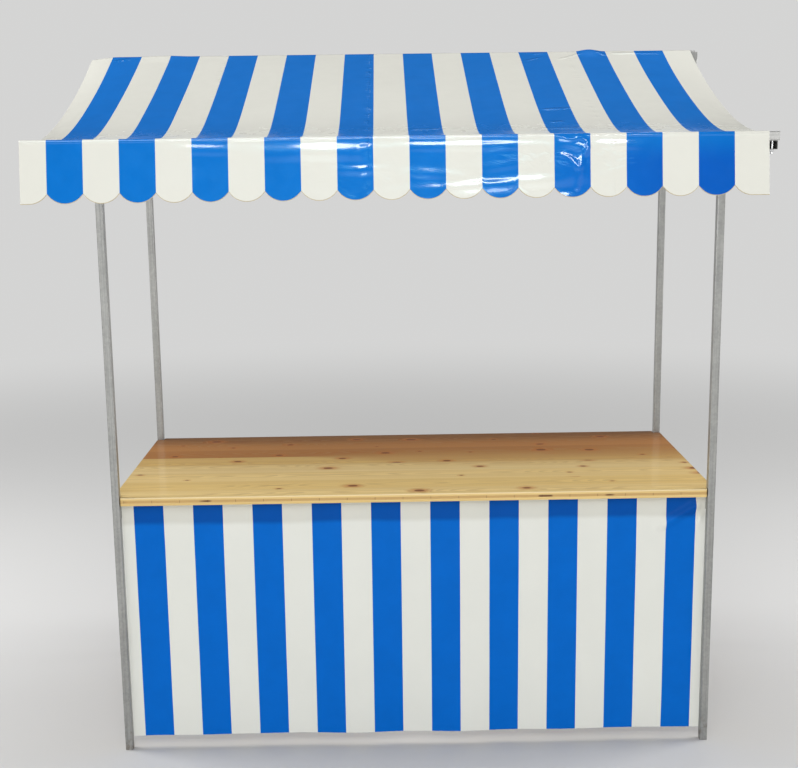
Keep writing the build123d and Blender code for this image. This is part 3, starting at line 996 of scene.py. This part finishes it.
def threaded_end(top):
    """The bolt's end below the height top, drawn in at every thread root."""
    deselect()
    bpy.ops.mesh.primitive_cylinder_add(vertices=24, radius=BOLT_RADIUS, depth=BOLT_END)
    end = bpy.context.object
    edit_edges(end, lambda start, stop: not level(start, stop))
    bpy.ops.mesh.subdivide(number_cuts=2 * THREAD_TURNS - 1)
    half_turn = BOLT_END / (2 * THREAD_TURNS)
    for root in range(1, 2 * THREAD_TURNS, 2):
        height = root * half_turn - BOLT_END / 2
        edit_edges(end, lambda start, stop: level(start, stop) and abs(start.z - height) < LEVEL)
        bpy.ops.transform.resize(
            value=(THREAD_ROOT, THREAD_ROOT, 1), center_override=(0, 0, height))
    hang(top, BOLT_END)
    return end


def counter_nuts():
    """A nut on a washer under each crossing of the counter's long rails and side rails."""
    nut_radius = NUT_FLATS / 2 / math.cos(math.pi / 6)
    parts = [chamfered_disc(32, WASHER_RADIUS, WASHER_HEIGHT, 0, WASHER_CHAMFER),
             chamfered_disc(6, nut_radius, NUT_HEIGHT, -WASHER_HEIGHT, NUT_CHAMFER),
             threaded_end(-WASHER_HEIGHT - NUT_HEIGHT)]
    only(parts[0])
    for part in parts:
        part.select_set(True)
    bpy.ops.object.join()
    pattern = bpy.context.object
    pattern.data.materials.append(zinc_plate())
    for side in ("left", "right"):
        rail_low, rail_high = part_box(f"counter_side_rail_{side}")
        for end in ("front", "back"):
            long_low, long_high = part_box(f"counter_{end}_rail")
            only(pattern)
            bpy.ops.object.duplicate()
            nut = bpy.context.object
            nut.name = nut.data.name = f"counter_nut_{end}_{side}"
            place = ((rail_low.x + rail_high.x) / 2, (long_low.y + long_high.y) / 2, rail_low.z)
            bpy.ops.transform.translate(value=place)
            bpy.ops.object.transform_apply(location=True, rotation=False, scale=False)
            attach(nut, "root")
    only(pattern)
    bpy.ops.object.delete()


# -------- finish of the CAD nodes
def paint(node, material):
    """Give a CAD node this material alone."""
    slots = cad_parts[node].data.materials
    slots.clear()
    slots.append(material)


def finish_frame():
    """Zinc along each tube, plated bolts and nuts, and the board."""
    tubes = {axis: galvanised(axis) for axis in "xyz"}
    fastener = zinc_plate()
    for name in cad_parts:
        if name.startswith(("post", "king_post", "beam_spigot")):
            paint(name, tubes["z"])
        elif name.startswith(("side_beam", "counter_side_rail", "counter_bearer")):
            paint(name, tubes["y"])
        elif name.startswith(("ridge", "eave_rail", "counter_front_rail", "counter_back_rail")):
            paint(name, tubes["x"])
        elif name.startswith("eave_"):
            paint(name, fastener)
    paint("counter_board", lacquered_board())


# ======== floor, light and camera
FLOOR = (0.58, 0.575, 0.565, 1)
HORIZON = (0.66, 0.66, 0.655, 1)
DUSK = (0.045, 0.045, 0.050, 1)     # what gloss sees above the horizon
ZENITH = (0.10, 0.10, 0.105, 1)     # and overhead
FILL = (0.45, 0.455, 0.46, 1)       # the even light that the world gives to all else


def stage():
    """A pale floor that runs out into the colour of the backdrop."""
    deselect()
    bpy.ops.mesh.primitive_circle_add(
        vertices=96, radius=60, fill_type="NGON", location=(0, 0, -0.0005))
    floor = bpy.context.object
    floor.name = "floor"
    material, n, bsdf = new_material("pale_floor")
    n.fill(bsdf, Base_Color=FLOOR, Roughness=0.85, Specular_IOR_Level=0.2)
    far = n.add("ShaderNodeEmission", {"Color": HORIZON})
    distance = n.vectors("LENGTH", n.place())["Value"]
    blend = n.add("ShaderNodeMixShader", {0: n.between(distance, 2.0, 9.0),
                                          1: bsdf.outputs[0], 2: far.outputs[0]})
    surface = material.node_tree.nodes["Material Output"].inputs["Surface"]
    n.feed(surface, blend.outputs[0])
    floor.data.materials.append(material)


def softbox(name, place, target, size, power):
    """A rectangular lamp that faces the target."""
    light = bpy.data.lights.new(name, "AREA")
    light.shape = "RECTANGLE"
    light.size, light.size_y = size
    light.energy = power
    lamp = bpy.data.objects.new(name, light)
    bpy.context.scene.collection.objects.link(lamp)
    lamp.location = place
    lamp.rotation_euler = (Vector(target) - Vector(place)).to_track_quat("-Z", "Y").to_euler()


def lights():
    """A bright strip and a broad box high in front, others low in front, behind and beside.

    The camera sees the plain colour of the horizon all round.
    """
    softbox("strip", (0.15, -6.0, 4.55), (0, -0.9, 1.9), (3.5, 0.24), 58)
    softbox("front", (-1.1, -5.2, 6.0), (0, -0.9, 1.9), (4.0, 2.2), 75)
    softbox("low", (-0.1, -7.0, 1.3), (0, 0, 0.4), (3.0, 1.6), 110)
    softbox("behind", (0.3, 1.5, 6.5), (0.3, 0.4, 2.2), (3.2, 0.7), 62)
    softbox("left", (-5.0, 0.6, 3.3), (0, 0, 0.9), (2.2, 1.4), 180)
    softbox("right", (5.0, 0.6, 3.3), (0, 0, 0.9), (2.2, 1.4), 150)
    world = bpy.data.worlds.new("studio")
    bpy.context.scene.world = world
    world.use_nodes = True
    n = Nodes(world.node_tree)
    height = n.parts(n.add("ShaderNodeTexCoord").outputs["Generated"])[2]
    above = n.mix(n.between(height, 0.45, 0.80), DUSK, ZENITH)
    backdrop = n.mix(n.between(height, 0.100, 0.240), HORIZON, above)
    path = n.add("ShaderNodeLightPath").outputs
    backdrop = n.mix(path["Is Camera Ray"], backdrop, HORIZON)
    seen = n.maths("MAXIMUM", path["Is Camera Ray"], path["Is Glossy Ray"])
    seen = n.maths("MAXIMUM", seen, path["Is Transmission Ray"])
    colour = world.node_tree.nodes["Background"].inputs["Color"]
    n.feed(colour, n.mix(seen, FILL, backdrop))


def camera():
    """Eye height, a little left of the stall's middle, looking slightly down."""
    view = bpy.data.cameras.new("view")
    view.lens = 56.43
    seat = bpy.data.objects.new("view", view)
    bpy.context.scene.collection.objects.link(seat)
    turn_right, look_down, lean = 0.00991, 0.18478, -0.01313
    seat.matrix_world = (
        Matrix.Translation((-0.0483, -4.4754, 2.0275))
        @ Matrix.Rotation(-turn_right, 4, "Z")
        @ Matrix.Rotation(math.pi / 2 - look_down, 4, "X")
        @ Matrix.Rotation(lean, 4, "Z")
    )
    bpy.context.scene.camera = seat


camera()
TAPE = binding()
roof_canvas()
skirt()
counter_nuts()
finish_frame()
stage()
lights()
